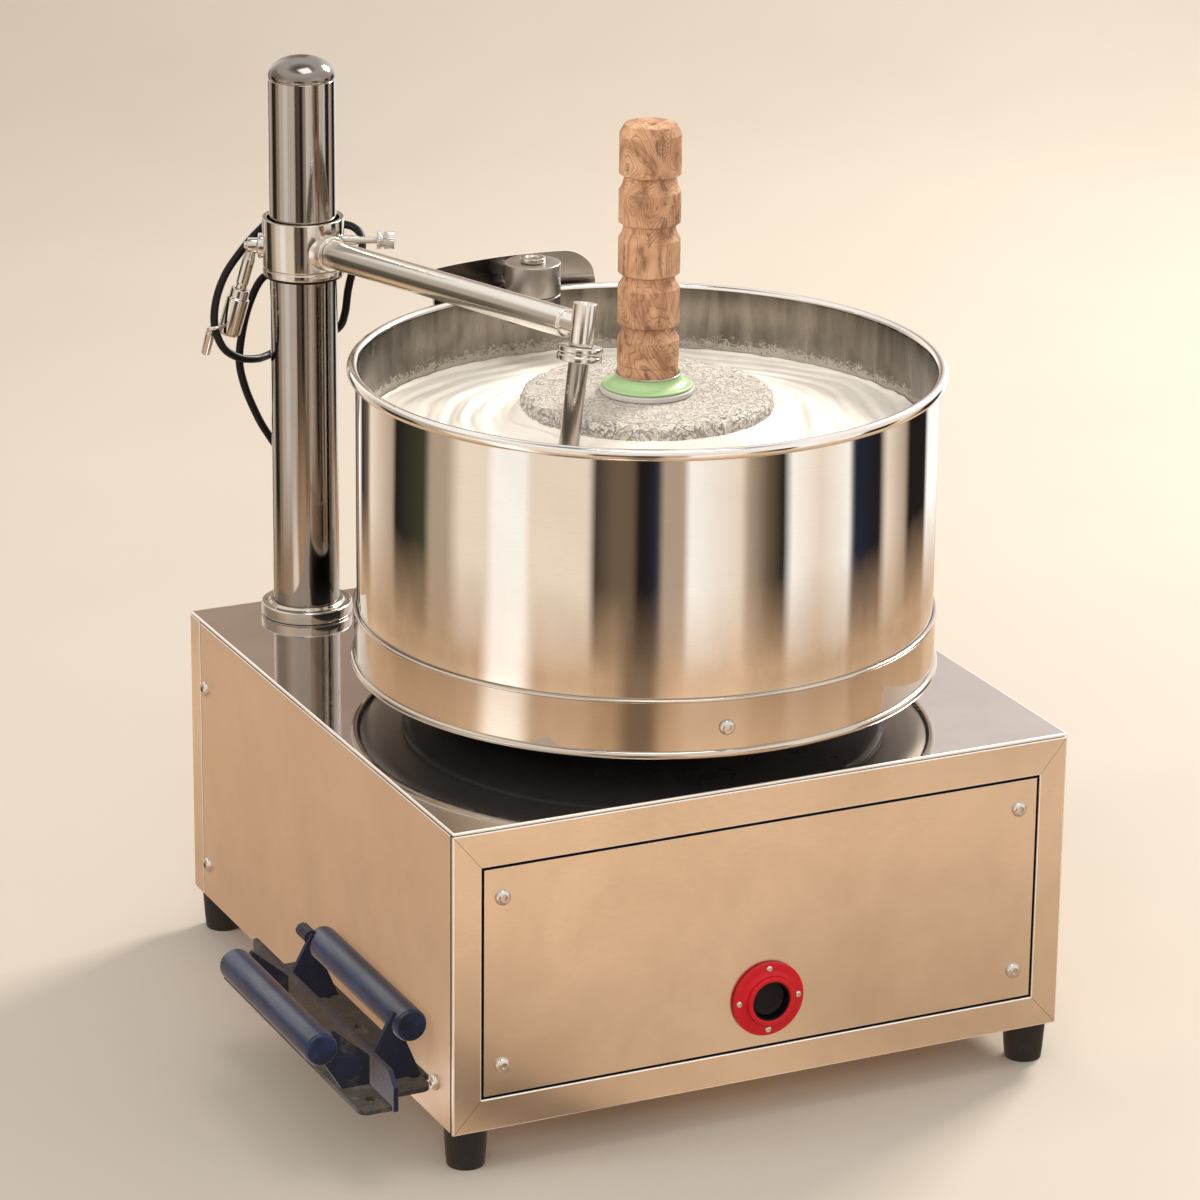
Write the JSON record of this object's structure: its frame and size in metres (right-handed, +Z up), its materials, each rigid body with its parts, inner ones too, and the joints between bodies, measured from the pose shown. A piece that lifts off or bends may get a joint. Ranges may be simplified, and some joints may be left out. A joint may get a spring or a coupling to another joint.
{
  "type": "wet grinder",
  "caption": "Table-top wet grinder: square steel cabinet, turning steel drum with a grinding stone and wooden handle, scraper arm on a column, push button.",
  "frame": {"origin": "centre of the bounding box of the machine without its tether cord, on the surface that the feet stand on", "axes": "+Z up, the drum's axis is parallel to it; the front panel faces -Y; the carrying bracket is on the -X side"},
  "size_m": [0.48, 0.4412, 0.576],
  "materials": {
    "polished_steel": "polished",
    "brushed_steel": "fine brushed",
    "dark_steel": "dull",
    "zinc_steel": "zinc plated",
    "cast_iron": "painted grey",
    "black_paint": "satin",
    "navy_paint": "worn satin",
    "rubber": "matt",
    "black_plastic": "satin",
    "red_plastic": "gloss",
    "green_plastic": "satin",
    "grey_plastic": "matt",
    "granite": "chiselled",
    "batter": "wet",
    "wood": "oiled",
    "cord_rubber": "satin"
  },
  "bodies": {
    "cabinet": {"top_plate": "polished_steel", "front_frame": "brushed_steel", "front_panel": "brushed_steel", "left_panel": "brushed_steel", "right_panel": "brushed_steel", "back_panel": "brushed_steel", "base_plate": "brushed_steel", "foot_front_left": "rubber", "foot_front_right": "rubber", "foot_back_left": "rubber", "foot_back_right": "rubber", "front_screw_1": "polished_steel", "front_screw_2": "polished_steel", "front_screw_3": "polished_steel", "front_screw_4": "polished_steel", "side_screw_1": "polished_steel", "side_screw_2": "polished_steel", "side_screw_3": "polished_steel", "button_flange": "red_plastic", "switch_body": "black_plastic", "cord_gland": "black_plastic", "motor": "cast_iron", "bearing_housing": "cast_iron", "spindle_bush": "zinc_steel", "v_belt": "rubber", "guard": "polished_steel", "roller_housing": "polished_steel", "roller_axle": "polished_steel", "column": "polished_steel", "column_flange": "polished_steel", "handle_bracket": "navy_paint", "inner_grip": "navy_paint", "outer_grip": "navy_paint"},
    "drum": {"drum_shell": "polished_steel", "base_band": "polished_steel", "band_screw": "polished_steel", "turntable": "black_paint", "spindle": "zinc_steel", "drum_pulley": "cast_iron", "base_stone": "granite", "centre_pin": "zinc_steel", "batter": "batter"},
    "motor_rotor": {"motor_pulley": "cast_iron"},
    "steady_roller": {"rim_roller": "dark_steel"},
    "stone_carrier": {"stone_bush": "black_plastic"},
    "stone": {"top_stone": "granite", "stone_washer": "grey_plastic", "handle_flange": "green_plastic", "wooden_handle": "wood"},
    "lift_carriage": {"collar_bush": "black_plastic"},
    "swing_collar": {"arm_collar": "polished_steel", "tether_cord": "cord_rubber", "tether_pin": "polished_steel"},
    "clamp_screw": {"clamp_screw": "polished_steel"},
    "lever": {"lock_lever": "polished_steel", "lever_grip": "polished_steel"},
    "arm": {"arm_tube": "polished_steel", "clamp_ring": "polished_steel"},
    "rod": {"scraper_rod": "polished_steel"},
    "button": {"power_button": "black_plastic"}
  },
  "joints": [
    {"name": "drum_spin", "type": "hinge", "parent": "cabinet", "child": "drum", "pos_m": [0.039, -0.04073, 0.25], "axis": [0, 0, 1], "continuous": true},
    {"name": "motor_spin", "type": "hinge", "parent": "cabinet", "child": "motor_rotor", "pos_m": [0.137, 0.11727, 0.071], "axis": [0, 0, 1], "continuous": true},
    {"name": "roller_spin", "type": "hinge", "parent": "cabinet", "child": "steady_roller", "pos_m": [0.03386, 0.11409, 0.418], "axis": [0, 0, 1], "continuous": true},
    {"name": "stone_spin", "type": "hinge", "parent": "drum", "child": "stone_carrier", "pos_m": [0.039, -0.04073, 0.335], "axis": [0, 0, 1], "continuous": true},
    {"name": "stone_lift", "type": "slide", "parent": "stone_carrier", "child": "stone", "axis": [0, 0, 1], "range_m": [0, 0.035]},
    {"name": "arm_lift", "type": "slide", "parent": "cabinet", "child": "lift_carriage", "axis": [0, 0, 1], "range_m": [0, 0.08]},
    {"name": "arm_swing", "type": "hinge", "parent": "lift_carriage", "child": "swing_collar", "pos_m": [-0.094, 0.17827, 0.455], "axis": [0, 0, 1], "range_deg": [-15, 0.5]},
    {"name": "clamp_screw_turn", "type": "hinge", "parent": "swing_collar", "child": "clamp_screw", "pos_m": [-0.05787, 0.16112, 0.459], "axis": [0.9033, -0.4289, 0], "range_deg": [-180, 180]},
    {"name": "lever_turn", "type": "hinge", "parent": "swing_collar", "child": "lever", "pos_m": [-0.12245, 0.19179, 0.455], "axis": [-0.9033, 0.4289, 0], "range_deg": [-12, 2]},
    {"name": "arm_roll", "type": "hinge", "parent": "swing_collar", "child": "arm", "pos_m": [-0.094, 0.17827, 0.455], "axis": [-0.2431, 0.9693, -0.0366], "range_deg": [0, 80]},
    {"name": "rod_slide", "type": "slide", "parent": "arm", "child": "rod", "axis": [0.1546, 0.076, 0.985], "range_m": [0, 0.01]},
    {"name": "button_press", "type": "slide", "parent": "cabinet", "child": "button", "axis": [0, 1, 0], "range_m": [0, 0.004], "stiffness_N_per_m": 400, "springref_m": -0.002}
  ],
  "couplings": [
    {"joint": "motor_spin", "follows": "drum_spin", "ratio": 4.3486},
    {"joint": "roller_spin", "follows": "drum_spin", "ratio": 9.8857}
  ]
}
